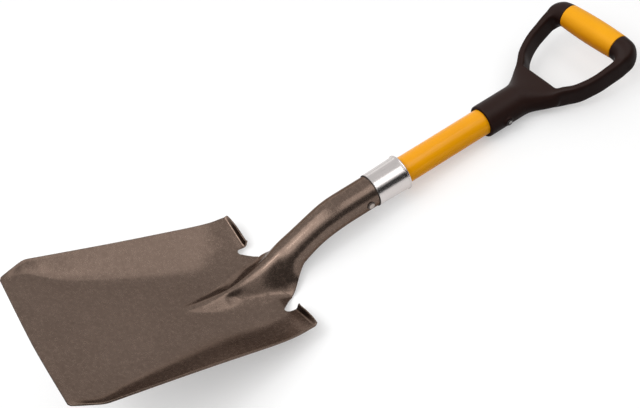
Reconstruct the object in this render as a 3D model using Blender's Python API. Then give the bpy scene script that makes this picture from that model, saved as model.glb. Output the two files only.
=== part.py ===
"""Scoop shovel: pressed head, ferrule, tubular shaft and moulded D-handle, lying face up.

Units are metres. The pieces are modelled along the shaft, which runs along +Y from the neck to the
grip, with the face of the pan towards +Z. An empty then turns the whole tool into the pose in which
it lies on a flat surface.
"""

import math

import bmesh
import bpy
from mathutils import Matrix, Vector

MM = 0.001

# Sheet metal of the head
SHEET = 1.9 * MM
PAN_LENGTH = 246 * MM
MOUTH_WIDTH = 170 * MM
PAN_WIDTH = 196 * MM
HEEL_WIDTH = 180 * MM
CHAMFER_LENGTH = 25 * MM
CORNER_CUT = 2.4 * MM
MOUTH_BOW = 8.5 * MM
WING_FRONT = 14.7 * MM
WING_BACK = 33.4 * MM
HEEL_CURL = 20 * MM
CURL_LENGTH = 70 * MM
TREAD_LIP = 8.6 * MM
TREAD_STRAIGHT = 0.6 * HEEL_WIDTH / 2
TREAD_CORNER = 0.4 * HEEL_WIDTH / 2
HEEL_SWEEP = 10 * MM
MOUTH_SWEEP = 1.5 * MM
BEND_FRONT = 6 * MM
BEND_GROWTH = 16 * MM
LIFT_ANGLE = math.radians(28.7)

# Frog and neck
FROG_LENGTH = 96 * MM
FROG_WIDTH = 67 * MM
FROG_HEIGHT = 47.5 * MM
FROG_SETBACK = 3 * MM
NECK_ROOT_ANGLE = math.radians(52)
NECK_ROOT_BEHIND = 11 * MM
NECK_ROOT_HEIGHT = 34.4 * MM
NECK_ROOT_WIDTH = 41 * MM
NECK_RUN = 61.4 * MM
NECK_RISE = 62.3 * MM
NECK_SQUEEZE = 0.8 * MM
SEAM_HALF_ANGLE = math.radians(8)
NOTCH_CENTRE = 47.6 * MM
NOTCH_RADIUS = 4.6 * MM
NOTCH_DEPTH = 7 * MM

# Socket, rivet and ferrule
SHAFT_DIAMETER = 30 * MM
SHAFT_WALL = 4.5 * MM
SOCKET_LENGTH = 70 * MM
SOCKET_CLEARANCE = 0.3 * MM
RIVET_SETBACK = 11 * MM
RIVET_SHANK = 5 * MM
RIVET_HEAD = 9 * MM
RIVET_HEAD_HEIGHT = 1.5 * MM
FERRULE_LENGTH = 40 * MM
FERRULE_OVERLAP = 34 * MM
FERRULE_WALL = 0.8 * MM
FERRULE_FLARE = 0.7 * MM
FERRULE_BEAD = 2.2 * MM
PLUG_LENGTH = 52 * MM
PLUG_EDGE = 1.5 * MM

# Shaft and D-handle
BARE_SHAFT = 109 * MM
HANDLE_GRASP = 45 * MM
HANDLE_SOCKET_WALL = 3.4 * MM
HANDLE_WIDTH = 119 * MM
HANDLE_SLOPE = math.radians(19.8)
CROTCH_WIDTH = 75 * MM
CROTCH_DISTANCE = 83 * MM
GRIP_DISTANCE = 160.4 * MM
GRIP_RISE = 32 * MM
GRIP_LENGTH = 74.4 * MM
GRIP_DIAMETER = 27.8 * MM
GRIP_BELLY = 1 * MM
GRIP_BORE = 18 * MM
ARM_THICKNESS = 9 * MM
ARM_DEPTH = 26 * MM
ARM_SAG = 3.8 * MM
CORE_BITE = 3 * MM
SCREW_DISTANCE = 22.5 * MM
SCREW_TURN = math.radians(3)
SCREW_SHANK = 4 * MM
SCREW_HEAD = 7.6 * MM
SCREW_HEAD_HEIGHT = 2.2 * MM
SCREW_BOSS = 11 * MM
SCREW_BOSS_HEIGHT = 1.2 * MM

GAP = 0.3 * MM
SMALL_EDGE = 0.8 * MM
ROUND_STEPS = 36
BELLY_STEPS = 10
BALANCE_STATION = -60 * MM

# Stations along the shaft, from where the neck becomes straight
SOCKET_OUTER = SHAFT_DIAMETER / 2 + SOCKET_CLEARANCE + SHEET
SHAFT_START = 2 * MM
FERRULE_START = SOCKET_LENGTH - FERRULE_OVERLAP
RIVET_STATION = FERRULE_START - RIVET_SETBACK
FERRULE_END = FERRULE_START + FERRULE_LENGTH
HANDLE_START = FERRULE_END + BARE_SHAFT
SHAFT_END = HANDLE_START + HANDLE_GRASP
SCREW_STATION = HANDLE_START + SCREW_DISTANCE
CROTCH_STATION = HANDLE_START + CROTCH_DISTANCE
GRIP_STATION = HANDLE_START + GRIP_DISTANCE
HANDLE_SOCKET_OUTER = SHAFT_DIAMETER / 2 + SOCKET_CLEARANCE + HANDLE_SOCKET_WALL


def clear_scene():
    for item in list(bpy.data.objects):
        bpy.data.objects.remove(item, do_unlink=True)


def smooth_step(value):
    t = min(max(value, 0.0), 1.0)
    return t * t * (3 - 2 * t)


def curve_through(points):
    """A smooth function through (position, value) points, constant beyond its ends."""
    places = [point[0] for point in points]
    values = [point[1] for point in points]
    last = len(points) - 1

    def slope(k):
        low, high = max(k - 1, 0), min(k + 1, last)
        return (values[high] - values[low]) / (places[high] - places[low])

    def read(position):
        if position <= places[0]:
            return values[0]
        if position >= places[-1]:
            return values[-1]
        k = max(index for index in range(last) if places[index] <= position)
        span = places[k + 1] - places[k]
        t = (position - places[k]) / span
        return (
            values[k] * (2 * t**3 - 3 * t**2 + 1)
            + values[k + 1] * (3 * t**2 - 2 * t**3)
            + slope(k) * span * (t**3 - 2 * t**2 + t)
            + slope(k + 1) * span * (t**3 - t**2)
        )

    return read


def make_material(name, colour, roughness, metallic):
    material = bpy.data.materials.new(name)
    material.use_nodes = True
    shader = material.node_tree.nodes["Principled BSDF"]
    shader.inputs["Base Color"].default_value = (*colour, 1)
    shader.inputs["Roughness"].default_value = roughness
    shader.inputs["Metallic"].default_value = metallic
    return material


def make_object(name, mesh_builder, material=None, parent=None, sharp_degrees=35):
    """Turns a bmesh into an object with outward faces, shaded smooth up to the given angle."""
    bmesh.ops.recalc_face_normals(mesh_builder, faces=mesh_builder.faces)
    mesh = bpy.data.meshes.new(name)
    mesh_builder.to_mesh(mesh)
    mesh_builder.free()
    mesh.shade_smooth()
    mesh.set_sharp_from_angle(angle=math.radians(sharp_degrees))
    item = bpy.data.objects.new(name, mesh)
    bpy.context.collection.objects.link(item)
    if material:
        mesh.materials.append(material)
    if parent:
        item.parent = parent
    return item


def make_tool(name, mesh_builder, parent):
    """A hidden solid that shapes another one."""
    item = make_object(name, mesh_builder, parent=parent)
    item.hide_render = True
    item.display_type = "WIRE"
    return item


def combine(item, tool, operation):
    modifier = item.modifiers.new(tool.name, "BOOLEAN")
    modifier.operation = operation
    modifier.solver = "EXACT"
    modifier.object = tool


def loft(rings):
    """A closed solid through rings of points, with a flat cap on each end."""
    builder = bmesh.new()
    made = [[builder.verts.new(point) for point in ring] for ring in rings]
    count = len(rings[0])
    for first, second in zip(made, made[1:]):
        for k in range(count):
            following = (k + 1) % count
            builder.faces.new((first[k], first[following], second[following], second[k]))
    builder.faces.new(list(reversed(made[0])))
    builder.faces.new(made[-1])
    return builder


def turned(profile, closed=False, steps=ROUND_STEPS):
    """Turns (radius, height) points round the Z axis. A closed profile makes a ring or a tube."""
    builder = bmesh.new()
    rings = []
    for radius, height in profile:
        if radius < 1e-6:
            rings.append([builder.verts.new((0, 0, height))])
            continue
        angles = [2 * math.pi * k / steps for k in range(steps)]
        ring = [(radius * math.cos(angle), radius * math.sin(angle), height) for angle in angles]
        rings.append([builder.verts.new(point) for point in ring])
    pairs = list(zip(rings, rings[1:]))
    if closed:
        pairs.append((rings[-1], rings[0]))
    for first, second in pairs:
        for k in range(steps):
            following = (k + 1) % steps
            if len(first) == 1:
                builder.faces.new((first[0], second[following], second[k]))
            elif len(second) == 1:
                builder.faces.new((first[k], first[following], second[0]))
            else:
                builder.faces.new((first[k], first[following], second[following], second[k]))
    if not closed:
        for ring in (rings[0], rings[-1]):
            if len(ring) > 1:
                builder.faces.new(ring)
    return builder


def along_shaft(item, station=0.0):
    """Lays a turned piece's axis along the shaft, its height zero at the station."""
    item.rotation_euler = (-math.pi / 2, 0, 0)
    item.location = (0, station, 0)


def across_shaft(item, station, rise=0.0, turn=0.0):
    """Lays a turned piece's axis across the shaft, its height running towards +X and a turn below."""
    item.rotation_euler = (0, math.pi / 2 + turn, 0)
    item.location = (0, station, rise)


def dome(radius, base, height, steps=5):
    """Profile points of a domed end, from its rim to the middle."""
    points = []
    for k in range(steps + 1):
        angle = math.pi / 2 * k / steps
        points.append((radius * math.cos(angle) if k < steps else 0.0, base + height * math.sin(angle)))
    return points


class Pan:
    """The pressed sheet in its own frame: x across, y back from the mouth, z up from the floor."""

    def __init__(self):
        length = PAN_LENGTH
        self.taper = curve_through([(0.1, 0.0), (0.47, 0.47), (0.86, 0.77), (1.0, 1.0)])
        self.wing = curve_through([(0, -0.33), (0.1, 0), (0.16, 0.06), (0.47, 0.29), (0.7, 0.47),
                                   (0.86, 0.61), (0.94, 0.76), (1, 1)])
        half = PAN_WIDTH / 2
        self.crease = curve_through([(0, 0.78 * half), (0.05 * length, 0.86 * half),
                                     (0.09 * length, 0.89 * half), (0.14 * length, 0.865 * half),
                                     (0.2 * length, 0.79 * half), (0.37 * length, 0.665 * half),
                                     (0.65 * length, 0.51 * half), (length, 0.48 * half)])
        self.ridge = curve_through([(0, 0), (0.125, 0.03), (0.24, 0.07), (0.42, 0.18), (0.55, 0.285),
                                    (0.68, 0.425), (0.8, 0.6), (0.9, 0.78), (1, 1)])
        self.frog_start = PAN_LENGTH - FROG_SETBACK - FROG_LENGTH

    def half_width(self, v):
        """Half the width at a distance v behind the mouth, with rounded corners."""
        mouth, widest = MOUTH_WIDTH / 2, PAN_WIDTH / 2
        slope = (widest - mouth) / CHAMFER_LENGTH
        reach = CHAMFER_LENGTH / 5
        ahead = v - CHAMFER_LENGTH
        side = widest - (widest - HEEL_WIDTH / 2) * self.taper(v / PAN_LENGTH)
        if ahead < -reach:
            width = widest + slope * ahead
        elif ahead < reach:
            width = side - slope * (reach - ahead) ** 2 / (4 * reach)
        else:
            width = side
        corner = max(1 - v / CORNER_CUT, 0)
        return width - CORNER_CUT * corner**2

    def floor(self, x, y):
        """Height of the floor: bowed across the mouth, curled up at the heel."""
        fade = 1 - smooth_step(y / (0.3 * PAN_LENGTH))
        bow = MOUTH_BOW * fade * abs(2 * x / MOUTH_WIDTH) ** 1.4
        into = y - (PAN_LENGTH - CURL_LENGTH)
        steady = CURL_LENGTH * 0.92
        if into <= 0:
            curl = 0.0
        elif into < steady:
            curl = HEEL_CURL * (into / CURL_LENGTH) ** 2
        else:
            curl = HEEL_CURL * (0.92**2 + 0.65 * (into - steady) / CURL_LENGTH)
        return bow + curl

    def base_half(self, v):
        """Half the width of the frog where it leaves the floor."""
        into = max((v - self.frog_start) / FROG_LENGTH, 0.0)
        return FROG_WIDTH / 2 * (0.24 + 0.76 * min(into, 1.0) ** 0.6)

    def lean(self, v):
        """How far the section at v has begun to lean towards the neck, from 0 to 1."""
        return smooth_step((v - (PAN_LENGTH - CURL_LENGTH)) / CURL_LENGTH)

    def surface(self, x, v):
        """A point of the face outside the frog, on the section at v."""
        half = self.half_width(v)
        base = self.base_half(v)
        crease = self.crease(v)
        tread = TREAD_STRAIGHT
        if x < tread:
            shift = HEEL_SWEEP * (tread - x) / max(tread - base, MM)
        else:
            shift = -0.15 * (x - tread)
        front = -MOUTH_SWEEP * abs(2 * x / MOUTH_WIDTH) ** 1.4 * (1 - smooth_step(v / CHAMFER_LENGTH))
        y = v + front + self.lean(v) * shift
        floor = self.floor(x, v if x > tread else y)
        span = half - crease
        top = WING_FRONT + (WING_BACK - WING_FRONT) * self.wing(v / PAN_LENGTH)
        steep = (top - self.floor(half, v)) / span
        bend = min(0.9 * (crease - base), span * 0.5, BEND_FRONT + BEND_GROWTH * v / PAN_LENGTH)
        past = x - crease
        if past < -bend:
            lift = 0.0
        elif past < bend:
            lift = steep * (past + bend) ** 2 / (4 * bend)
        else:
            lift = steep * past
        return Vector((x, y, floor + lift))

    def frog(self, share, v):
        """A point of the frog on the section at v, from its ridge (0) to its base (1)."""
        base = self.base_half(v)
        foot = self.surface(base, v)
        lean = self.lean(v)
        ridge_y = v - FROG_SETBACK * lean
        into = (ridge_y - self.frog_start) / FROG_LENGTH
        crown = self.floor(0, min(ridge_y, PAN_LENGTH - CURL_LENGTH)) + FROG_HEIGHT * self.ridge(into)
        if into <= 0:
            crown = self.floor(0, v)
        crest = smooth_step((v - 0.88 * PAN_LENGTH) / (0.12 * PAN_LENGTH))
        rise = (1 - share ** (1.4 + 0.6 * crest)) ** (1.6 - 0.2 * crest)
        level = foot.z if into > 0 else self.floor(base * share, v)
        y = ridge_y + (foot.y - ridge_y) * share**2
        return Vector((base * share, y, level + (crown - level) * rise * (1 if into > 0 else 0)))


class Neck:
    """Centre line of the neck in the pan's frame, from the frog to the straight socket."""

    def __init__(self):
        self.start = Vector((0, PAN_LENGTH + NECK_ROOT_BEHIND, NECK_ROOT_HEIGHT))
        self.end = self.start + Vector((0, NECK_RUN, NECK_RISE))
        reach = (self.end - self.start).length
        self.leave = reach * Vector((0, math.cos(NECK_ROOT_ANGLE), math.sin(NECK_ROOT_ANGLE)))
        self.arrive = reach * Vector((0, math.cos(LIFT_ANGLE), math.sin(LIFT_ANGLE)))
        waist = SOCKET_OUTER - NECK_SQUEEZE
        self.radius = curve_through([(0, NECK_ROOT_WIDTH / 2), (0.1, 0.5 * (NECK_ROOT_WIDTH / 2 + waist)),
                                     (0.24, SOCKET_OUTER), (0.42, waist), (0.6, waist),
                                     (0.85, SOCKET_OUTER), (1, SOCKET_OUTER)])
        self.wrap = curve_through([(0, math.radians(100)), (0.3, math.radians(128)),
                                   (0.6, math.radians(158)), (0.85, math.pi - SEAM_HALF_ANGLE),
                                   (1, math.pi - SEAM_HALF_ANGLE)])

    def centre(self, t):
        return (
            self.start * (2 * t**3 - 3 * t**2 + 1)
            + self.end * (3 * t**2 - 2 * t**3)
            + self.leave * (t**3 - 2 * t**2 + t)
            + self.arrive * (t**3 - t**2)
        )

    def direction(self, t):
        step = 1e-3
        return (self.centre(min(t + step, 1)) - self.centre(max(t - step, 0))).normalized()

    def round_point(self, share, t):
        """A point of the rolled tube, from the face side (share 0) round to the seam (share 1)."""
        along = self.direction(t)
        outward = Vector((0, -along.z, along.y))
        angle = share * self.wrap(t)
        return self.centre(t) + self.radius(t) * (
            Vector((1, 0, 0)) * math.sin(angle) + outward * math.cos(angle)
        )


def pan_sections():
    """Distances behind the mouth at which the pan's sections lie."""
    corner = [0, 0.25 * CORNER_CUT, 0.6 * CORNER_CUT, 1.2 * CORNER_CUT]
    chamfer = [CHAMFER_LENGTH * share for share in (0.3, 0.55, 0.8, 0.95, 1.1, 1.25)]
    middle_start, middle_end = 1.5 * CHAMFER_LENGTH, PAN_LENGTH - FROG_LENGTH - 4 * MM
    middle = [middle_start + (middle_end - middle_start) * k / 6 for k in range(7)]
    heel_start = middle_end + 6 * MM
    heel = [heel_start + (PAN_LENGTH - heel_start) * k / 12 for k in range(13)]
    return corner + chamfer + middle + heel


def head_mesh(frog_columns=12, outer_columns=13, neck_sections=15):
    """The head's outer face as one sheet, in the frame of the shaft."""
    pan, neck = Pan(), Neck()
    builder = bmesh.new()
    sections = pan_sections()
    shares = [k / frog_columns for k in range(frog_columns + 1)]

    def half_row(v):
        """Points from the middle to the edge on the section at v."""
        base, edge = pan.base_half(v), pan.half_width(v)
        inner = [pan.frog(share, v) for share in shares]
        outer = [pan.surface(base + (edge - base) * k / outer_columns, v)
                 for k in range(1, outer_columns + 1)]
        return inner + outer

    def full_row(points):
        mirrored = [Vector((-point.x, point.y, point.z)) for point in reversed(points[1:])]
        return mirrored + points

    rows = [full_row(half_row(v)) for v in sections]

    def lip(point, ahead, share):
        """The turned-up tread: a point of its section, from the bend (0) to the free edge (1)."""
        outer = (abs(point.x) - TREAD_STRAIGHT) / TREAD_CORNER
        height = TREAD_LIP * (1 - 0.48 * max(outer, 0) ** 2)
        final = math.radians(90 - 38 * max(outer, 0) ** 2)
        steps = 12
        place = point.copy()
        for k in range(int(round(share * steps))):
            turn = smooth_step((k + 0.5) / (0.45 * steps))
            angle = ahead + (final - ahead) * turn
            place += Vector((0, math.cos(angle), math.sin(angle))) * height / steps
        place.x -= math.copysign(4 * MM * max(outer - 0.7, 0) * share**2, place.x)
        return place

    heel_row, before = rows[-1], rows[-2]
    lip_rows = []
    for share in (1 / 6, 1 / 3, 1 / 2, 3 / 4, 1):
        row = []
        for point, previous in zip(heel_row, before):
            ahead = math.atan2(point.z - previous.z, point.y - previous.y)
            row.append(lip(point, ahead, share) if abs(point.x) > NOTCH_CENTRE else None)
        lip_rows.append(row)

    bell = heel_row[len(heel_row) // 2:][: frog_columns + 1]
    neck_rows = []
    for k in range(1, neck_sections + 1):
        t = k / neck_sections
        blend = smooth_step(t / 0.24)
        shift = neck.centre(t) - neck.centre(0)
        half = []
        for share, start in zip(shares, bell):
            half.append((start + shift).lerp(neck.round_point(share, t), blend))
        neck_rows.append(full_row(half))
    for station in (0.25, 0.4, 0.55, 0.75, 1):
        shift = neck.arrive.normalized() * SOCKET_LENGTH * station
        neck_rows.append([point + shift for point in neck_rows[neck_sections - 1]])

    to_shaft = Matrix.Rotation(-LIFT_ANGLE, 4, "X") @ Matrix.Translation(-neck.end)

    def add_rows(grid):
        return [[builder.verts.new(to_shaft @ point) if point is not None else None for point in row]
                for row in grid]

    def join(first, second):
        for k in range(len(first) - 1):
            corners = (first[k], first[k + 1], second[k + 1], second[k])
            if None not in corners:
                builder.faces.new(corners)

    pan_verts = add_rows(rows)
    for first, second in zip(pan_verts, pan_verts[1:]):
        join(first, second)
    lip_verts = add_rows(lip_rows)
    for first, second in zip([pan_verts[-1]] + lip_verts, lip_verts):
        join(first, second)
    neck_verts = add_rows(neck_rows)
    middle = len(heel_row) // 2
    root = pan_verts[-1][middle - frog_columns: middle + frog_columns + 1]
    for first, second in zip([root] + neck_verts, neck_verts):
        join(first, second)
    return builder, to_shaft


def notch_outline():
    """Plan of the notch between a tread and the frog, in the pan's frame."""
    radius = NOTCH_RADIUS
    centre_x, centre_y = NOTCH_CENTRE, PAN_LENGTH - NOTCH_DEPTH + radius
    back = PAN_LENGTH + 2 * HEEL_SWEEP
    points = [(centre_x + radius + 0.6 * MM, back), (centre_x + radius, centre_y + radius)]
    for k in range(11):
        angle = -math.radians(142) * k / 10
        points.append((centre_x + radius * math.cos(angle), centre_y + radius * math.sin(angle)))
    inner = FROG_WIDTH / 2
    points += [(inner + 2.6 * MM, PAN_LENGTH + 5.3 * MM), (inner + 0.3 * MM, PAN_LENGTH + 10 * MM),
               (inner + 0.3 * MM, back)]
    return points


def build_head(material, frame):
    builder, to_shaft = head_mesh()
    bmesh.ops.recalc_face_normals(builder, faces=builder.faces)
    face = min(builder.faces, key=lambda item: item.calc_center_median().y)
    if face.normal.z < 0:
        bmesh.ops.reverse_faces(builder, faces=builder.faces)
    mesh = bpy.data.meshes.new("head")
    builder.to_mesh(mesh)
    builder.free()
    mesh.materials.append(material)
    head = bpy.data.objects.new("head", mesh)
    bpy.context.collection.objects.link(head)
    head.parent = frame
    thickness = head.modifiers.new("sheet", "SOLIDIFY")
    thickness.thickness = SHEET
    thickness.offset = -1
    thickness.use_even_offset = True
    thickness.thickness_clamp = 0
    for side, word in ((1, "near"), (-1, "far")):
        outline = [(side * x, y) for x, y in notch_outline()]
        low = [to_shaft @ Vector((x, y, 0.25 * HEEL_CURL)) for x, y in outline]
        high = [to_shaft @ Vector((x, y, 3 * HEEL_CURL)) for x, y in outline]
        combine(head, make_tool(f"notch_{word}", loft([low, high]), frame), "DIFFERENCE")
    combine(head, cross_drill("head_drill", RIVET_STATION, RIVET_SHANK, frame), "DIFFERENCE")
    mesh.shade_smooth()
    mesh.set_sharp_from_angle(angle=math.radians(35))
    return head


def cross_drill(name, station, diameter, frame):
    """A hole right across the shaft, one gap wider than the pin in it."""
    radius = diameter / 2 + GAP
    reach = SOCKET_OUTER + HANDLE_SOCKET_OUTER
    tool = make_tool(name, turned([(radius, -reach), (radius, reach)], steps=18), frame)
    across_shaft(tool, station)
    return tool


def build_rivet(material, frame):
    """Through rivet with a formed head on each side of the socket."""
    seat = SOCKET_OUTER + GAP
    shank, head = RIVET_SHANK / 2, RIVET_HEAD / 2
    far = [(radius, -height) for radius, height in reversed(dome(head, seat, RIVET_HEAD_HEIGHT))]
    near = dome(head, seat, RIVET_HEAD_HEIGHT)
    rivet = make_object("socket_rivet", turned(far + [(shank, -seat), (shank, seat)] + near, steps=24),
                        material, frame)
    across_shaft(rivet, RIVET_STATION)
    return rivet


def build_ferrule(material, frame):
    """Collar over the socket's end, flared, with a rolled rim that closes on the shaft."""
    inner = SOCKET_OUTER + GAP
    outer = inner + FERRULE_WALL
    bead = FERRULE_BEAD / 2
    end = FERRULE_LENGTH
    on_shaft = SHAFT_DIAMETER / 2 + GAP
    bead_centre = (outer + FERRULE_FLARE, end - bead)
    rim = []
    for k in range(7):
        angle = math.radians(-90 + 180 * k / 6)
        rim.append((bead_centre[0] + bead * math.cos(angle), bead_centre[1] + bead * math.sin(angle)))
    soft = 0.5 * FERRULE_WALL
    outside = [(outer - soft, 0), (outer, soft), (outer + 0.1 * FERRULE_FLARE, 0.3 * end),
               (outer + 0.45 * FERRULE_FLARE, 0.7 * end), (outer + FERRULE_FLARE, end - 2.6 * bead)]
    socket_end = FERRULE_OVERLAP + GAP
    inside = [(on_shaft, end), (on_shaft, end - 1.6 * bead), (inner, socket_end + GAP), (inner, 0)]
    ferrule = make_object("ferrule", turned(outside + rim + inside, closed=True, steps=36),
                          material, frame)
    along_shaft(ferrule, FERRULE_START)
    return ferrule


def build_shaft(material, frame):
    """Hollow round shaft, drilled for the rivet and the handle screw."""
    outer = SHAFT_DIAMETER / 2
    inner = outer - SHAFT_WALL
    length = SHAFT_END - SHAFT_START
    edge = SMALL_EDGE
    profile = [(inner, 0), (outer - edge, 0), (outer, edge), (outer, length - edge),
               (outer - edge, length), (inner, length)]
    shaft = make_object("shaft", turned(profile, closed=True, steps=42), material, frame)
    along_shaft(shaft, SHAFT_START)
    combine(shaft, cross_drill("shaft_drill", RIVET_STATION, RIVET_SHANK, frame), "DIFFERENCE")
    pilot_radius = SCREW_SHANK / 2 + GAP
    pilot = make_tool("screw_pilot", turned([(pilot_radius, 0), (pilot_radius, 2 * outer)], steps=18), frame)
    across_shaft(pilot, SCREW_STATION, turn=SCREW_TURN)
    combine(shaft, pilot, "DIFFERENCE")
    return shaft


def build_plug(material, frame):
    """Plug that keeps the tube from collapsing where the rivet is closed."""
    radius = SHAFT_DIAMETER / 2 - SHAFT_WALL - GAP
    edge = PLUG_EDGE
    profile = [(0, 0), (radius - edge, 0), (radius, edge), (radius, PLUG_LENGTH - edge),
               (radius - edge, PLUG_LENGTH), (0, PLUG_LENGTH)]
    plug = make_object("core_plug", turned(profile, steps=32), material, frame)
    along_shaft(plug, SHAFT_START)
    combine(plug, cross_drill("plug_drill", RIVET_STATION, RIVET_SHANK, frame), "DIFFERENCE")
    return plug


def oval(centre, across, upward, half_across, half_up, steps=32, squareness=2.0):
    """A ring round a centre, slightly squarer than an ellipse."""
    points = []
    for k in range(steps):
        angle = 2 * math.pi * k / steps
        cosine, sine = math.cos(angle), math.sin(angle)
        x = math.copysign(abs(cosine) ** (2 / squareness), cosine) * half_across
        z = math.copysign(abs(sine) ** (2 / squareness), sine) * half_up
        points.append(centre + across * x + upward * z)
    return points


def handle_trunk():
    """Socket and web of the D-handle, up to the crotch of the opening."""
    outer = HANDLE_SOCKET_OUTER
    edge = SMALL_EDGE
    round_end = HANDLE_GRASP + 2 * MM
    remaining = CROTCH_DISTANCE - round_end
    half = CROTCH_WIDTH / 2
    deep = ARM_DEPTH / 2
    crotch_rise = GRIP_RISE - (GRIP_DISTANCE - CROTCH_DISTANCE) * math.tan(HANDLE_SLOPE)
    stations = [(0, outer - edge, outer - edge, 0, 2), (edge, outer, outer, 0, 2),
                (round_end, outer, outer, 0, 2)]
    # Share of the way to the crotch, share of the swelling, share of the rise, squareness
    for share, swell, rise, square in (
        (0.2, 0.09, 0.05, 2.1), (0.4, 0.28, 0.12, 2.5), (0.58, 0.49, 0.25, 3.2),
        (0.78, 0.74, 0.55, 4.2), (0.93, 0.84, 0.85, 5),
    ):
        stations.append((round_end + remaining * share, outer + (half - outer) * swell,
                         outer + (deep - outer) * min(1.25 * share, 1), crotch_rise * rise, square))
    stations.append((CROTCH_DISTANCE, 0.8 * half, 0.8 * deep, crotch_rise, 5))
    rings = []
    for distance, wide, thick, rise, square in stations:
        centre = Vector((0, HANDLE_START + distance, rise))
        rings.append(oval(centre, Vector((1, 0, 0)), Vector((0, 0, 1)), wide, thick, squareness=square))
    return loft(rings)


def handle_arm(side):
    """One strap-like arm, from inside the web round the corner to the end of the grip."""
    half, grip = HANDLE_WIDTH / 2, GRIP_DIAMETER / 2
    reach = (GRIP_DISTANCE - CROTCH_DISTANCE) / math.cos(HANDLE_SLOPE)
    start = GRIP_LENGTH / 2 + GAP
    corner = half - start
    deep = ARM_DEPTH / 2
    thin = ARM_THICKNESS / 2
    lean = CROTCH_WIDTH / 2
    # Middle of the strap: place before the grip as a share of the reach, distance from the tool's
    # middle plane, then thickness, depth and sag as shares
    strap = [
        (1.21, 0.40 * lean, 1.1, 0.8, 0.3),
        (1.06, 0.68 * lean, 1.1, 1.02, 0.6),
        (0.93, lean - 0.9 * thin, 1.05, 1.12, 0.7),
        (0.82, lean + 0.17 * (half - lean), 0.97, 1.08, 0.7),
        (0.68, lean + 0.42 * (half - lean), 0.93, 1.0, 0.8),
        (0.53, lean + 0.6 * (half - lean), 0.92, 1.0, 0.95),
        (0.375, half - 1.5 * thin, 0.95, 1.0, 1.1),
        (0.24, half - 1.14 * thin, 1.05, 1.0, 1.2),
    ]
    edges = []
    for k, (share, x, thickness, depth, sag) in enumerate(strap):
        after, before = strap[min(k + 1, len(strap) - 1)], strap[max(k - 1, 0)]
        run = Vector((after[1] - before[1], (before[0] - after[0]) * reach))
        square_to = Vector((run.y, -run.x)).normalized() * thin * thickness
        middle = Vector((x, -share * reach))
        edges.append((middle - square_to, middle + square_to, deep * depth, 5, sag))
    # Corner: inner and outer edge as shares of its width, the height blending into the round end
    for inner_x, inner_y, outer_x, outer_y, blend, sag in (
        (0.5, -1.14, 1.02, -0.85, 0.2, 1.2),
        (0.42, -1.04, 1.07, -0.35, 0.45, 1.0),
        (0.33, -1.0, 1.02, 0.12, 0.7, 0.75),
        (0.22, -0.99, 0.86, 0.54, 0.9, 0.45),
        (0.11, -0.995, 0.55, 0.87, 1.0, 0.15),
        (0.0, -1.0, 0.0, 1.0, 1.0, 0.0),
    ):
        inner = Vector((start + corner * inner_x, grip * inner_y))
        outer = Vector((start + corner * outer_x, grip * outer_y))
        edges.append((inner, outer, deep + (grip - deep) * blend, 5 - 3 * blend, sag))
    cosine, sine = math.cos(HANDLE_SLOPE), math.sin(HANDLE_SLOPE)
    upward = Vector((0, -sine, cosine))
    rings = []
    for inner, outer, thick, square, sag in edges:
        middle, across = (inner + outer) / 2, (outer - inner) / 2
        centre = Vector((side * middle.x, GRIP_STATION + middle.y * cosine, GRIP_RISE + middle.y * sine))
        centre -= upward * ARM_SAG * sag
        sideways = Vector((side * across.x, across.y * cosine, across.y * sine))
        rings.append(oval(centre, sideways.normalized(), upward, sideways.length, thick,
                          squareness=square, steps=28))
    return loft(rings)


def build_handle(material, frame):
    """Moulded D-handle in one piece, with the bar that carries the grip."""
    handle = make_object("d_handle", handle_trunk(), material, frame)
    bar = GRIP_BORE / 2 - GAP
    bar_reach = GRIP_LENGTH / 2 + CORE_BITE
    core = make_tool("core_bar", turned([(bar, -bar_reach), (bar, bar_reach)], steps=28), frame)
    across_shaft(core, GRIP_STATION, GRIP_RISE)
    boss_outer = HANDLE_SOCKET_OUTER + SCREW_BOSS_HEIGHT
    boss_root = HANDLE_SOCKET_OUTER - 0.75 * HANDLE_SOCKET_WALL
    boss_edge = 0.25 * SCREW_BOSS_HEIGHT
    boss_profile = [(1.1 * SCREW_BOSS / 2, boss_root), (SCREW_BOSS / 2, boss_outer - boss_edge),
                    (SCREW_BOSS / 2 - boss_edge, boss_outer)]
    boss = make_tool("screw_boss", turned(boss_profile, steps=24), frame)
    across_shaft(boss, SCREW_STATION, turn=SCREW_TURN)
    bore_radius = SHAFT_DIAMETER / 2 + SOCKET_CLEARANCE
    bore_profile = [(bore_radius, -HANDLE_SOCKET_WALL), (bore_radius, HANDLE_GRASP + GAP)]
    bore = make_tool("handle_bore", turned(bore_profile, steps=36), frame)
    along_shaft(bore, HANDLE_START)
    for side, word in ((1, "near"), (-1, "far")):
        combine(handle, make_tool(f"arm_{word}", handle_arm(side), frame), "UNION")
    combine(handle, core, "UNION")
    combine(handle, boss, "UNION")
    combine(handle, bore, "DIFFERENCE")
    hole = SCREW_SHANK / 2 + GAP
    drill = make_tool("screw_hole", turned([(hole, 0), (hole, 2 * HANDLE_SOCKET_OUTER)], steps=16), frame)
    across_shaft(drill, SCREW_STATION, turn=SCREW_TURN)
    combine(handle, drill, "DIFFERENCE")
    return handle


def build_grip(material, frame):
    """Soft barrel-shaped sleeve moulded round the core bar between the two arms."""
    outer, inner = GRIP_DIAMETER / 2, GRIP_BORE / 2
    half = GRIP_LENGTH / 2
    edge = SMALL_EDGE
    profile = [(inner, -half), (outer - edge, -half)]
    for k in range(BELLY_STEPS + 1):
        share = 2 * k / BELLY_STEPS - 1
        profile.append((outer + GRIP_BELLY * (1 - share * share), share * (half - edge)))
    profile += [(outer - edge, half), (inner, half)]
    grip = make_object("grip_sleeve", turned(profile, closed=True, steps=36), material, frame)
    across_shaft(grip, GRIP_STATION, GRIP_RISE)
    return grip


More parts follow.
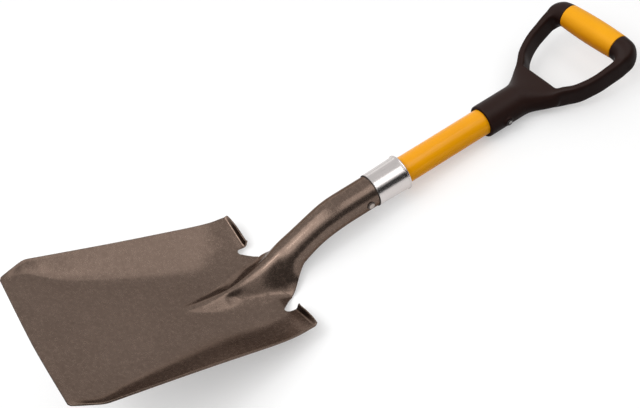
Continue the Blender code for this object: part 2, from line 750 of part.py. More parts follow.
def build_screw(material, frame):
    """Pan head screw through the handle's boss into the shaft's wall."""
    seat = HANDLE_SOCKET_OUTER + SCREW_BOSS_HEIGHT + GAP
    shank = SCREW_SHANK / 2
    tip = SHAFT_DIAMETER / 2 - SHAFT_WALL - 1.5 * shank
    profile = [(0, tip - shank), (shank, tip), (shank, seat)]
    profile += dome(SCREW_HEAD / 2, seat, SCREW_HEAD_HEIGHT)
    screw = make_object("handle_screw", turned(profile, steps=24), material, frame)
    across_shaft(screw, SCREW_STATION, turn=SCREW_TURN)
    return screw


def lay_on_ground(frame, pieces):
    """Turns the frame until the tool rests on its heel and the back of the handle."""
    bpy.context.view_layer.update()
    view = bpy.context.evaluated_depsgraph_get()
    outline = []
    ends = []
    for piece in pieces:
        seen = piece.evaluated_get(view)
        mesh = seen.to_mesh()
        for vertex in mesh.vertices:
            place = seen.matrix_world @ vertex.co
            outline.append((place.y, place.z))
        seen.to_mesh_clear()
    outline.sort()
    hull = []
    for point in outline:
        while len(hull) > 1:
            (y0, z0), (y1, z1) = hull[-2], hull[-1]
            if (y1 - y0) * (point[1] - z0) - (z1 - z0) * (point[0] - y0) > 0:
                break
            hull.pop()
        hull.append(point)
    for first, second in zip(hull, hull[1:]):
        if first[0] <= BALANCE_STATION <= second[0]:
            ends = [first, second]
    (y0, z0), (y1, z1) = ends
    angle = -math.atan2(z1 - z0, y1 - y0)
    cosine, sine = math.cos(angle), math.sin(angle)
    reach = [y * cosine - z * sine for y, z in outline]
    frame.rotation_euler = (angle, 0, 0)
    frame.location = (0, -(min(reach) + max(reach)) / 2, -(y0 * sine + z0 * cosine))


def main():
    clear_scene()
    frame = bpy.data.objects.new("tool_frame", None)
    bpy.context.collection.objects.link(frame)
    bronze = make_material("bronze_paint", (0.13, 0.095, 0.075), 0.42, 0.5)
    steel = make_material("rivet_steel", (0.16, 0.13, 0.11), 0.4, 0.8)
    aluminium = make_material("ferrule_aluminium", (0.8, 0.8, 0.8), 0.28, 1.0)
    yellow = make_material("shaft_yellow", (0.85, 0.42, 0.02), 0.25, 0.0)
    wood = make_material("plug_wood", (0.55, 0.4, 0.24), 0.7, 0.0)
    black = make_material("handle_black", (0.022, 0.019, 0.018), 0.38, 0.0)
    amber = make_material("grip_amber", (0.95, 0.45, 0.05), 0.4, 0.0)
    zinc = make_material("screw_zinc", (0.6, 0.6, 0.6), 0.3, 1.0)
    pieces = [
        build_head(bronze, frame),
        build_rivet(steel, frame),
        build_ferrule(aluminium, frame),
        build_shaft(yellow, frame),
        build_plug(wood, frame),
        build_handle(black, frame),
        build_grip(amber, frame),
        build_screw(zinc, frame),
    ]
    lay_on_ground(frame, pieces)


main()
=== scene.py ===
import math

import bmesh
import bpy
from mathutils import Matrix, Vector


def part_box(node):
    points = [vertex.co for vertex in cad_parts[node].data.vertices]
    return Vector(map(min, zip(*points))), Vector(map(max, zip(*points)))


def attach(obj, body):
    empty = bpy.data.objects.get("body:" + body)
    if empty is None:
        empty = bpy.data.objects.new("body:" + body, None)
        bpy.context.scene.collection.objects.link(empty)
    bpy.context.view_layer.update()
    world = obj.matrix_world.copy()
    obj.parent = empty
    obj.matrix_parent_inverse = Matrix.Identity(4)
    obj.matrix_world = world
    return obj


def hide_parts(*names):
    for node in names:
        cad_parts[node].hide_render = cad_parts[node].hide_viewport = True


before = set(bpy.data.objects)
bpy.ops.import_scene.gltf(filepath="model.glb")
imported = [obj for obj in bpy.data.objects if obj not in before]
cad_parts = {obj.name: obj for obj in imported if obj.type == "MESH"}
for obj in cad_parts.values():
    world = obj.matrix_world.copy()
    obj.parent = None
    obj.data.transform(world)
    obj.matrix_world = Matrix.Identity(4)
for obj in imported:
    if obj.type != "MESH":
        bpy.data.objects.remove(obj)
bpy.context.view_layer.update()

mm = 0.001

# The tool's own frame: +Y along the shaft from where the neck gets straight, +Z towards the pan's face
stations = {"shaftStart": 2, "rivet": 25, "ferrule": 36, "handle": 185, "screw": 207.5, "shaftEnd": 230,
            "grip": 345.4}


def boxMiddle(node):
    low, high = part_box(node)
    return (Vector(low) + Vector(high)) / 2


shaftMiddle = boxMiddle("shaft")
along = (shaftMiddle - boxMiddle("core_plug")).normalized()
middleStation = (stations["shaftStart"] + stations["shaftEnd"]) / 2
toolMatrix = (Matrix.Translation(shaftMiddle) @ Matrix.Rotation(math.atan2(along.z, along.y), 4, "X")
              @ Matrix.Translation((0, -middleStation * mm, 0)))


# Small helpers for curves and meshes

def smoothStep(value):
    t = min(max(value, 0.0), 1.0)
    return t * t * (3 - 2 * t)


def mixed(a, b, t):
    return a + (b - a) * t


def smoothRun(start, end, leave, arrive, t):
    # from start at 0 to end at 1, with the slopes that it leaves and arrives with
    return (start * (2 * t**3 - 3 * t**2 + 1) + end * (3 * t**2 - 2 * t**3)
            + leave * (t**3 - 2 * t**2 + t) + arrive * (t**3 - t**2))


def curveThrough(points):
    # a smooth curve through (place, value) points, level beyond its ends
    places, values = zip(*points)
    last = len(points) - 1

    def slope(k):
        low, high = max(k - 1, 0), min(k + 1, last)
        return (values[high] - values[low]) / (places[high] - places[low])

    def read(position):
        if position <= places[0]:
            return values[0]
        if position >= places[-1]:
            return values[-1]
        k = max(index for index in range(last) if places[index] <= position)
        span = places[k + 1] - places[k]
        return smoothRun(values[k], values[k + 1], slope(k) * span, slope(k + 1) * span,
                         (position - places[k]) / span)

    return read


def smoothRows(rows, between):
    # more rows between the given ones, each number on a smooth curve through its column
    columns = [curveThrough(list(enumerate(column))) for column in zip(*rows)]
    count = (len(rows) - 1) * between
    return [[column(k / between) for column in columns] for k in range(count + 1)]


def skinRings(rings, closed=False):
    # faces from each ring of points to the next; one point alone makes a tip, and open ends are filled
    builder = bmesh.new()
    made = [[builder.verts.new(point) for point in ring] for ring in rings]
    steps = max(len(ring) for ring in made)
    for first, second in list(zip(made, made[1:])) + ([(made[-1], made[0])] if closed else []):
        for k in range(steps):
            n = (k + 1) % steps
            around = ((first, k), (first, n), (second, n), (second, k))
            corners = [ring[place % len(ring)] for ring, place in around]
            builder.faces.new(list(dict.fromkeys(corners)))
    if not closed:
        for ring in (made[0], made[-1]):
            if len(ring) > 1:
                builder.faces.new(ring)
    return builder


def turnedMesh(profile, steps, closed=False):
    # (radius, height) points turned round Z
    turns = [(math.cos(2 * math.pi * k / steps), math.sin(2 * math.pi * k / steps)) for k in range(steps)]
    return skinRings([[(radius * cosine, radius * sine, height) for cosine, sine in turns]
                      if radius else [(0, 0, height)] for radius, height in profile], closed)


def alongShaft(station):
    return Matrix.Translation((0, station, 0)) @ Matrix.Rotation(-math.pi / 2, 4, "X")


def acrossShaft(station, rise=0, turn=0):
    return Matrix.Translation((0, station, rise)) @ Matrix.Rotation(math.pi / 2 + turn, 4, "Y")


def shade(mesh, sharpDegrees):
    mesh.shade_smooth()
    mesh.set_sharp_from_angle(angle=math.radians(sharpDegrees))


def makeObject(name, builder, local=None, sharpDegrees=40, recalculate=True):
    # the builder's points are in millimetres of the tool's frame, after the local turn
    builder.transform(toolMatrix @ Matrix.Scale(mm, 4) @ (local or Matrix.Identity(4)))
    if recalculate:
        bmesh.ops.recalc_face_normals(builder, faces=builder.faces)
    mesh = bpy.data.meshes.new(name)
    builder.to_mesh(mesh)
    builder.free()
    shade(mesh, sharpDegrees)
    made = bpy.data.objects.new(name, mesh)
    bpy.context.collection.objects.link(made)
    return made


cutReach = 40  # longer than anything that a tool cuts


def makeBar(name, radius, low, high, steps, local):
    return makeObject(name, turnedMesh([(radius, low), (radius, high)], steps), local)


def settle(piece, tools, sharpDegrees=40):
    # puts the modifiers' result into the mesh and removes the tools
    bpy.context.view_layer.update()
    seen = piece.evaluated_get(bpy.context.evaluated_depsgraph_get())
    mesh = bpy.data.meshes.new_from_object(seen)
    piece.modifiers.clear()
    old, piece.data = piece.data, mesh
    mesh.name = piece.name
    bpy.data.meshes.remove(old)
    shade(mesh, sharpDegrees)
    for tool in tools:
        bpy.data.objects.remove(tool, do_unlink=True)


def cutAway(piece, tools, sharpDegrees=40):
    for tool in tools:
        modifier = piece.modifiers.new(tool.name, "BOOLEAN")
        modifier.operation, modifier.solver, modifier.object = "DIFFERENCE", "EXACT", tool
    settle(piece, tools, sharpDegrees)


def finishPiece(piece, node, material):
    piece.data.materials.clear()
    piece.data.materials.append(material)
    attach(piece, "root")
    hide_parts(node)
    print("made", piece.name, len(piece.data.polygons), "faces")


# Shader maths: a wire is a node's output, and sums and products of wires add Math nodes

class Wire:
    def __init__(self, paint, socket):
        self.paint, self.socket = paint, socket

    def maths(self, operation, first, second):
        return self.paint.add("ShaderNodeMath", {"operation": operation}, {0: first, 1: second})

    def __add__(self, other):
        return self.maths("ADD", self, other)

    def __radd__(self, other):
        return self.maths("ADD", other, self)

    def __sub__(self, other):
        return self.maths("SUBTRACT", self, other)

    def __rsub__(self, other):
        return self.maths("SUBTRACT", other, self)

    def __mul__(self, other):
        return self.maths("MULTIPLY", self, other)

    def __rmul__(self, other):
        return self.maths("MULTIPLY", other, self)


class Paint:
    # the nodes of a new material, or of the tree that it is given
    def __init__(self, name, tree=None):
        if tree is None:
            self.material = bpy.data.materials.new(name)
            self.material.use_nodes = True
            tree = self.material.node_tree
        self.tree = tree
        tree.nodes.clear()

    def add(self, kind, settings=None, values=None, out=0):
        node = self.tree.nodes.new(kind)
        for key, value in (settings or {}).items():
            if key == "stops":
                for element, (position, level) in zip(node.color_ramp.elements, value):
                    element.position, element.color = position, (level, level, level, 1)
            else:
                setattr(node, key, value)
        for key, value in (values or {}).items():
            self.feed(node.inputs[key], value)
        return Wire(self, node.outputs[out])

    def feed(self, socket, value):
        if isinstance(value, Wire):
            self.tree.links.new(value.socket, socket)
        elif socket.type == "RGBA":
            socket.default_value = (*value, 1)
        else:
            socket.default_value = value

    def place(self, squeeze=(1, 1, 1)):
        # the point in the tool's own frame
        back = toolMatrix.inverted()
        spot = self.add("ShaderNodeMapping", None, {0: self.add("ShaderNodeTexCoord", out="Object"),
                                                    1: back.translation[:], 2: back.to_euler()[:]})
        if squeeze == (1, 1, 1):
            return spot
        return self.add("ShaderNodeVectorMath", {"operation": "MULTIPLY"}, {0: spot, 1: squeeze})

    def apart(self, vector, axis):
        return self.add("ShaderNodeSeparateXYZ", None, {0: vector}, out=axis)

    def noise(self, spot, scale, detail=2.0, roughness=0.5):
        values = {"Vector": spot, "Scale": scale, "Detail": detail, "Roughness": roughness}
        return self.add("ShaderNodeTexNoise", None, values, out="Fac")

    def cells(self, spot, scale):
        # a random colour for each cell
        return self.add("ShaderNodeTexVoronoi", None, {"Vector": spot, "Scale": scale}, out="Color")

    def level(self, value, stops):
        # a number from a ramp between two (position, level) stops
        ramp = self.add("ShaderNodeValToRGB", {"stops": stops}, {0: value})
        return self.add("ShaderNodeRGBToBW", None, {0: ramp})

    def normalAxis(self, axis):
        # 0 where the surface faces against the axis, 1 where it faces along it
        return self.apart(self.add("ShaderNodeNewGeometry", out="Normal"), axis) * 0.5 + 0.5

    def facingUp(self, low, high):
        # 0 on faces that point sideways or down, 1 on those that point up
        return self.level(self.normalAxis(2), [(low, 0), (high, 1)])

    def blend(self, factor, first, second):
        return self.add("ShaderNodeMix", {"data_type": "RGBA"}, {0: factor, 6: first, 7: second}, out=2)

    def bump(self, height, strength, distance):
        values = {"Height": height, "Strength": strength, "Distance": distance}
        return self.add("ShaderNodeBump", None, values)

    def shown(self):
        # 1 on what the camera, a reflection or glass shows, 0 on the light that falls on other things
        seen, shine, passed = [self.add("ShaderNodeLightPath", out="Is " + way + " Ray")
                               for way in ("Camera", "Glossy", "Transmission")]
        return seen + shine + passed

    def finish(self, values):
        self.output(self.add("ShaderNodeBsdfPrincipled", None, values))
        return self.material

    def output(self, surface, kind="ShaderNodeOutputMaterial"):
        node = self.tree.nodes.new(kind)
        self.tree.links.new(surface.socket, node.inputs["Surface"])


# Finishes: a noise is given by its scale, about so many waves in a metre, and "even" is the same all over

bronzeLook = {"dark": (0.116, 0.081, 0.064), "light": (0.186, 0.134, 0.107), "flake": (0.3, 0.23, 0.185),
              "treadShade": (0.012, 0.007, 0.005), "roughness": 0.25, "broad": 14, "mottle": 240, "flakeSize": 0.8,
              "ripple": 420, "peel": 0.13, "peelDepth": 0.0006,
              "even": {"Metallic": 0.78, "Specular Tint": (0.35, 0.28, 0.24), "Specular IOR Level": 0.35}}


def bronzePaint():
    paint = Paint("bronzePaint")
    look = bronzeLook
    spot = paint.place()
    broad = paint.noise(spot, look["broad"], 3)
    mottle = paint.noise(spot, look["mottle"])
    flake = paint.apart(paint.cells(spot, 1000 / look["flakeSize"]), 0)
    tone = broad * 0.45 + mottle * 1.1 + flake * 0.2 - 0.4
    colour = paint.blend(tone, look["dark"], look["light"])
    bright = paint.level(flake, [(0.86, 0), (0.93, 1)])
    colour = paint.blend(bright * 0.2, colour, look["flake"])
    corner = paint.level(paint.normalAxis(1), [(0.14, 1), (0.3, 0)])  # painted shade on the faces that turn towards the mouth, such as the bent-up treads
    colour = paint.blend(corner * 0.8, colour, look["treadShade"])
    roughness = look["roughness"] + (mottle - 0.5) * 0.14 + (flake - 0.5) * 0.06
    height = paint.noise(spot, look["ripple"], 3, 0.6) * 0.85 + mottle * 0.15
    return paint.finish({**look["even"], "Base Color": colour, "Roughness": roughness,
                         "Normal": paint.bump(height, look["peel"], look["peelDepth"])})


ferruleLook = {"colour": (0.62, 0.58, 0.565), "darkRim": (0.05, 0.04, 0.035), "roughness": 0.24, "drawn": 900,
               "soft": 60, "rings": 1600, "streak": 0.16, "darkRimEdge": 0.8, "bump": 0.06, "bumpDepth": 0.0003}


def bareAluminium():
    # drawn metal with fine streaks, and a dark, duller band on its first rim
    paint = Paint("bareAluminium")
    look = ferruleLook
    streaks = paint.noise(paint.place((1, 0.03, 1)), look["drawn"], 3, 0.6)
    soft = paint.noise(paint.place(), look["soft"])
    rings = paint.noise(paint.place((0.02, 1, 0.02)), look["rings"])
    darker, lighter = [tuple(level * share for level in look["colour"]) for share in (0.9, 1.1)]
    colour = paint.blend(streaks * 0.5 + soft * 0.5, darker, lighter)
    # a dark, duller band on the first rim beside the socket
    station = paint.apart(paint.place(), 1)
    rim = (stations["ferrule"] + look["darkRimEdge"]) * mm
    darkRim = paint.level((station - rim) * 1000 + 0.5 + (soft - 0.5) * 0.8, [(0.3, 1), (0.7, 0)])
    colour = paint.blend(darkRim, colour, look["darkRim"])
    roughness = look["roughness"] + (streaks - 0.5) * look["streak"] + darkRim * 0.3
    return paint.finish({"Base Color": colour, "Roughness": roughness, "Metallic": 1 - darkRim * 0.6,
                         "Normal": paint.bump(streaks * 0.5 + rings * 0.5, look["bump"], look["bumpDepth"])})


shaftLook = {"lit": (0.93, 0.395, 0.003), "deep": (0.8, 0.31, 0.002), "dust": (0.45, 0.2, 0.02),
             "roughness": 0.26, "gloss": 0.5, "fibres": 700, "cloud": 28, "specks": 1500, "waves": 160,
             "bump": 0.05, "bumpDepth": 0.0006,
             "even": {"Specular IOR Level": 0.06, "Specular Tint": (1.0, 0.82, 0.35), "Coat Roughness": 0.22}}


def yellowSkin():
    paint = Paint("yellowSkin")
    look = shaftLook
    spot = paint.place()
    fibres = paint.noise(paint.place((1, 0.02, 1)), look["fibres"], 3, 0.55)
    cloud = paint.noise(spot, look["cloud"], 3)
    colour = paint.blend(fibres * 0.4 + cloud * 0.6, look["deep"], look["lit"])
    dust = paint.level(paint.noise(spot, look["specks"]), [(0.66, 0), (0.78, 1)])
    colour = paint.blend(dust * 0.08, colour, look["dust"])
    roughness = look["roughness"] + (cloud - 0.5) * 0.1 + dust * 0.12
    height = fibres * 0.6 + paint.noise(spot, look["waves"]) * 0.4
    return paint.finish({**look["even"], "Base Color": colour, "Roughness": roughness,
                         "Coat Weight": paint.facingUp(0.55, 0.9) * look["gloss"],
                         "Normal": paint.bump(height, look["bump"], look["bumpDepth"])})


handleLook = {"deep": (0.009, 0.0038, 0.0032), "lit": (0.027, 0.0125, 0.0098), "roughness": 0.42,
              "gloss": 0.2, "cloud": 22, "grain": 1300, "rub": 70, "bump": 0.14, "bumpDepth": 0.0005,
              "even": {"Specular IOR Level": 0.03, "Coat Roughness": 0.42}}


def blackMoulding():
    paint = Paint("blackMoulding")
    look = handleLook
    spot = paint.place()
    cloud = paint.noise(spot, look["cloud"], 3)
    grain = paint.noise(spot, look["grain"], 2, 0.6)
    mouldingToneAndPaintedLight = cloud * 0.3 + grain * 0.2 + paint.facingUp(0.5, 0.95) * 0.5  # random tone, and painted light: the upper side paler, the sides and underside deeper
    colour = paint.blend(mouldingToneAndPaintedLight, look["deep"], look["lit"])
    rub = paint.level(paint.noise(spot, look["rub"], 4, 0.65), [(0.6, 0), (0.74, 1)])
    roughness = look["roughness"] + (grain - 0.5) * 0.16 - rub * 0.08
    return paint.finish({**look["even"], "Base Color": colour, "Roughness": roughness,
                         "Coat Weight": paint.facingUp(0.6, 0.95) * look["gloss"],
                         "Normal": paint.bump(grain * 0.7 + cloud * 0.3, look["bump"], look["bumpDepth"])})


gripLook = {"lit": (0.98, 0.44, 0.006), "deep": (0.56, 0.17, 0.002), "smudge": (0.5, 0.2, 0.03),
            "roughness": 0.4, "gloss": 0.3, "cloud": 36, "grain": 1100, "smear": 55, "waves": 180,
            "bump": 0.1, "bumpDepth": 0.0005,
            "even": {"Specular IOR Level": 0.05, "Specular Tint": (1.0, 0.8, 0.35), "Coat Roughness": 0.4}}


def amberSleeve():
    paint = Paint("amberSleeve")
    look = gripLook
    spot = paint.place()
    cloud = paint.noise(spot, look["cloud"], 3)
    grain = paint.noise(spot, look["grain"])
    sleeveToneAndPaintedLight = cloud * 0.25 + grain * 0.15 + paint.facingUp(0.5, 0.92) * 0.6  # random tone, and painted light and shade: paler on top, deeper low on the sleeve
    colour = paint.blend(sleeveToneAndPaintedLight, look["deep"], look["lit"])
    smudge = paint.level(paint.noise(spot, look["smear"], 4, 0.65), [(0.58, 0), (0.76, 1)])
    colour = paint.blend(smudge * 0.1, colour, look["smudge"])
    roughness = look["roughness"] + (grain - 0.5) * 0.14 + smudge * 0.08
    height = grain * 0.6 + paint.noise(spot, look["waves"]) * 0.4
    return paint.finish({**look["even"], "Base Color": colour, "Roughness": roughness,
                         "Coat Weight": paint.facingUp(0.6, 0.95) * look["gloss"],
                         "Normal": paint.bump(height, look["bump"], look["bumpDepth"])})


pinLook = {"scratches": 2600, "cloud": 260, "bump": 0.1, "bumpDepth": 0.0003}


def pinSteel(name, pin, station):
    # a pin across the shaft: plain metal within the pin's bright radius, darker round it, which is paint on
    # the rivet and painted shade on the screw
    paint = Paint(name)
    look = {**pinLook, **pin}
    spot = paint.place()
    scratch = paint.noise(paint.place((1, 0.1, 0.1)), look["scratches"])
    cloud = paint.noise(spot, look["cloud"], 3)
    colour = paint.blend(cloud * 0.6 + scratch * 0.4, look["dark"], look["light"])
    aside = paint.add("ShaderNodeVectorMath", {"operation": "SUBTRACT"},
                      {0: paint.place((0, 1, 1)), 1: (0, station * mm, 0)})
    radius = paint.add("ShaderNodeVectorMath", {"operation": "LENGTH"}, {0: aside}, out="Value") * 1000
    rimPaintAndShade = paint.level((radius - look["bright"] + (cloud - 0.5) * 1.2) * 0.5 + 0.5, [(0.35, 0), (0.65, 1)])
    return paint.finish({"Base Color": paint.blend(rimPaintAndShade, colour, look["rim"]), "Metallic": 0.9 - rimPaintAndShade * 0.3,
                         "Roughness": look["roughness"] + (scratch - 0.5) * 0.15 + rimPaintAndShade * 0.15,
                         "Normal": paint.bump(cloud * 0.5 + scratch * 0.5, look["bump"], look["bumpDepth"])})


plugLook = {"early": (0.62, 0.44, 0.26), "late": (0.36, 0.21, 0.1), "ringWidth": 2.6, "roughness": 0.62,
            "warp": 60, "fibre": 2400, "bump": 0.2, "bumpDepth": 0.0004}


def turnedWood():
    paint = Paint("turnedWood")
    look = plugLook
    spot = paint.place((1, 0.06, 1))
    warp = paint.noise(spot, look["warp"], 3)
    growth = {"Vector": spot, "Scale": 160 / look["ringWidth"], "Distortion": 3.0, "Detail": 2.0}
    rings = paint.add("ShaderNodeTexWave", {"wave_type": "RINGS", "rings_direction": "Y"}, growth, out="Fac")
    fibre = paint.noise(paint.place((1, 0.02, 1)), look["fibre"], 3)
    colour = paint.blend(rings * 0.6 + fibre * 0.25 + warp * 0.15, look["late"], look["early"])
    return paint.finish({"Base Color": colour, "Roughness": look["roughness"] + (fibre - 0.5) * 0.2,
                         "Normal": paint.bump(fibre * 0.6 + rings * 0.4, look["bump"], look["bumpDepth"])})


# Head: pan with wings, frog, treads, neck and socket, pressed from one sheet

head = {"sheet": 1.9, "rimBevel": 0.45,
        # pan and wings
        "panLength": 246, "mouthWidth": 170, "panWidth": 196, "heelWidth": 180, "chamfer": 25,
        "cornerCut": 2.4, "mouthBow": 8.5, "mouthSweep": 1.5, "bowPower": 1.4, "wingFront": 14.7,
        "wingBack": 33.4, "bendFront": 3.5, "bendGrowth": 14, "heelCurl": 20, "curlLength": 70,
        "curlSteady": 0.92, "curlEase": 0.65, "heelSweep": 10, "cornerSweep": 0.15,
        # treads and the notches beside them
        "treadLip": 8.6, "treadLean": 38, "treadDrop": 0.48, "treadBend": 0.45, "treadTuck": 4,
        "notchCentre": 47.6, "notchRadius": 4.6, "notchDepth": 7, "notchTurn": 142, "notchGap": 0.3,
        # frog, neck and socket
        "frogLength": 96, "frogWidth": 67, "frogHeight": 47.5, "frogSetback": 3, "fold": 0.3, "foot": 0.6,
        "skirt": 0.24, "rootAngle": 52, "rootBehind": 11, "rootHeight": 34.4, "rootWidth": 41,
        "neckRun": 61.4, "neckRise": 62.3, "neckSqueeze": 0.8, "lift": 28.7, "seam": 8,
        "socketLength": 70, "socketOuter": 17.2, "rivetHole": 2.8}
panHalf = head["panWidth"] / 2
treadStraight = 0.6 * head["heelWidth"] / 2
treadCorner = 0.4 * head["heelWidth"] / 2
curlStart = head["panLength"] - head["curlLength"]
frogStart = head["panLength"] - head["frogSetback"] - head["frogLength"]

# Along the pan from mouth to heel: how far the sides draw in, the wings rise and the wings' creases run in
taperCurve = curveThrough([(0.1, 0.0), (0.47, 0.47), (0.86, 0.77), (1.0, 1.0)])
wingCurve = curveThrough([(0, -0.33), (0.1, 0), (0.16, 0.06), (0.47, 0.29), (0.7, 0.47), (0.86, 0.61),
                          (0.94, 0.76), (1, 1)])
creaseCurve = curveThrough([(0, 0.78), (0.05, 0.86), (0.09, 0.89), (0.14, 0.865), (0.2, 0.79), (0.37, 0.665),
                            (0.65, 0.51), (1, 0.48)])

# Along the frog: its ridge's rise, its width, the share of the width where the flank folds, and how wide
# the ridge is rounded
ridgeCurve = curveThrough([(0, 0), (0.125, 0.03), (0.24, 0.07), (0.42, 0.18), (0.55, 0.285), (0.68, 0.425),
                           (0.8, 0.6), (0.9, 0.78), (1, 1)])
frogCurve = curveThrough([(-0.1, 0.12), (0.1, 0.27), (0.365, 0.5), (0.625, 0.72), (0.9, 0.9), (1, 0.98),
                          (1.03, 1)])
flankBreak = curveThrough([(0.5, 0.04), (0.62, 0.25), (0.74, 0.5), (0.87, 0.71), (0.97, 0.84), (1, 0.88)])
crownCurve = curveThrough([(0.1, 0.5), (0.4, 0.3), (0.6, 0.2), (0.8, 0.22), (1, 0.3)])


def softCorner(past, reach, slope):
    # level before the corner, sloping after it, and round within reach of it
    if past < -reach:
        return 0.0
    if past < reach:
        return slope * (past + reach) ** 2 / (4 * reach)
    return slope * past


def halfWidth(v):
    side = panHalf - (panHalf - head["heelWidth"] / 2) * taperCurve(v / head["panLength"])
    slope = (panHalf - head["mouthWidth"] / 2) / head["chamfer"]
    narrowed = softCorner(head["chamfer"] - v, head["chamfer"] / 5, slope)
    return side - narrowed - head["cornerCut"] * max(1 - v / head["cornerCut"], 0) ** 2


def mouthCurve(x):
    return abs(2 * x / head["mouthWidth"]) ** head["bowPower"]


def floorHeight(x, y):
    fade = 1 - smoothStep(y / (0.3 * head["panLength"]))
    into = max(y - curlStart, 0) / head["curlLength"]
    steady = head["curlSteady"]
    if into < steady:
        curl = head["heelCurl"] * into**2
    else:
        curl = head["heelCurl"] * (steady**2 + head["curlEase"] * (into - steady))
    return head["mouthBow"] * fade * mouthCurve(x) + curl


def frogHalf(v):
    return head["frogWidth"] / 2 * frogCurve((v - frogStart) / head["frogLength"])


def heelLean(v):
    return smoothStep((v - curlStart) / head["curlLength"])


def facePoint(x, v):
    # a point of the face outside the frog
    half, base, crease = halfWidth(v), frogHalf(v), creaseCurve(v / head["panLength"]) * panHalf
    if x < treadStraight:
        shift = head["heelSweep"] * (treadStraight - x) / max(treadStraight - base, 1)
    else:
        shift = -head["cornerSweep"] * (x - treadStraight)
    front = -head["mouthSweep"] * mouthCurve(x) * (1 - smoothStep(v / head["chamfer"]))
    y = v + front + heelLean(v) * shift
    ground = floorHeight(x, v if x > treadStraight else y)
    span = half - crease
    top = mixed(head["wingFront"], head["wingBack"], wingCurve(v / head["panLength"]))
    steep = (top - floorHeight(half, v)) / span
    bend = head["bendFront"] + head["bendGrowth"] * v / head["panLength"]
    bend = min(0.9 * (crease - base), span * 0.5, bend)
    return Vector((x, y, ground + softCorner(x - crease, bend, steep)))


def frogProfile(into, samples=80):
    # falls from 1 on the ridge to 0 at the foot: a steep flank, a fold, then a gentle skirt
    crown, middle = crownCurve(into), flankBreak(into)
    levels, height = [], 0.0
    for k in range(samples + 1):
        share = (k + 0.5) / samples
        levels.append(height)
        steep = mixed(1, head["skirt"], smoothStep((share - middle) / head["fold"] + 0.5))
        height += smoothStep(share / crown) * steep * (1 - smoothStep((share - 1) / head["foot"] + 1))
    return curveThrough([(k / samples, 1 - level / levels[-1]) for k, level in enumerate(levels)])


def frogPoint(share, v, profile):
    base = frogHalf(v)
    foot = facePoint(base, v)
    ridgeY = v - head["frogSetback"] * heelLean(v)
    y = ridgeY + (foot.y - ridgeY) * share**2
    into = (ridgeY - frogStart) / head["frogLength"]
    if into <= 0:
        return Vector((base * share, y, floorHeight(base * share, v)))
    crown = floorHeight(0, min(ridgeY, curlStart)) + head["frogHeight"] * ridgeCurve(into)
    return Vector((base * share, y, mixed(foot.z, crown, profile(share))))


neckStart = Vector((0, head["panLength"] + head["rootBehind"], head["rootHeight"]))
neckEnd = neckStart + Vector((0, head["neckRun"], head["neckRise"]))
neckReach = (neckEnd - neckStart).length
rootAngle, liftAngle = math.radians(head["rootAngle"]), math.radians(head["lift"])
neckLeave = neckReach * Vector((0, math.cos(rootAngle), math.sin(rootAngle)))
neckArrive = neckReach * Vector((0, math.cos(liftAngle), math.sin(liftAngle)))
socketOuter = head["socketOuter"]
waist = socketOuter - head["neckSqueeze"]

# Along the neck: its radius, and how far round the sheet is wrapped on each side, in degrees
wrapped = 180 - head["seam"]
neckRadius = curveThrough([(0, head["rootWidth"] / 2), (0.1, 0.5 * (head["rootWidth"] / 2 + waist)),
                           (0.24, socketOuter), (0.42, waist), (0.6, waist), (0.85, socketOuter),
                           (1, socketOuter)])
neckWrap = curveThrough([(0, 100), (0.3, 128), (0.6, 158), (0.85, wrapped), (1, wrapped)])


def neckCentre(t):
    return smoothRun(neckStart, neckEnd, neckLeave, neckArrive, t)


def neckPoint(share, t):
    run = (neckCentre(min(t + 1e-3, 1)) - neckCentre(max(t - 1e-3, 0))).normalized()
    angle = math.radians(share * neckWrap(t))
    return neckCentre(t) + neckRadius(t) * (Vector((1, 0, 0)) * math.sin(angle)
                                            + Vector((0, -run.z, run.y)) * math.cos(angle))


def lipPoint(point, ahead, share, steps=48):
    # the turned-up tread, from the bend (0) to its free edge (1)
    past = (abs(point.x) - treadStraight) / treadCorner
    outer = max(past, 0)
    height = head["treadLip"] * (1 - head["treadDrop"] * outer**2)
    final = math.radians(90 - head["treadLean"] * outer**2)
    place = point.copy()
    for k in range(int(round(share * steps))):
        angle = mixed(ahead, final, smoothStep((k + 0.5) / (head["treadBend"] * steps)))
        place += Vector((0, math.cos(angle), math.sin(angle))) * height / steps
    place.x -= math.copysign(head["treadTuck"] * max(past - 0.7, 0) * share**2, place.x)
    return place


def panSections():
    # places of the rows of points, close together where the outline or the frog turns
    corner = [head["cornerCut"] * k / 5 for k in range(7)]
    chamfer = [head["chamfer"] * (0.2 + 1.1 * k / 14) for k in range(15)]
    middleEnd = head["panLength"] - head["frogLength"] - 8
    middle = [mixed(1.4 * head["chamfer"], middleEnd, k / 18) for k in range(19)]
    heel = [mixed(middleEnd + 3, head["panLength"], k / 44) for k in range(45)]
    return corner + chamfer + middle + heel


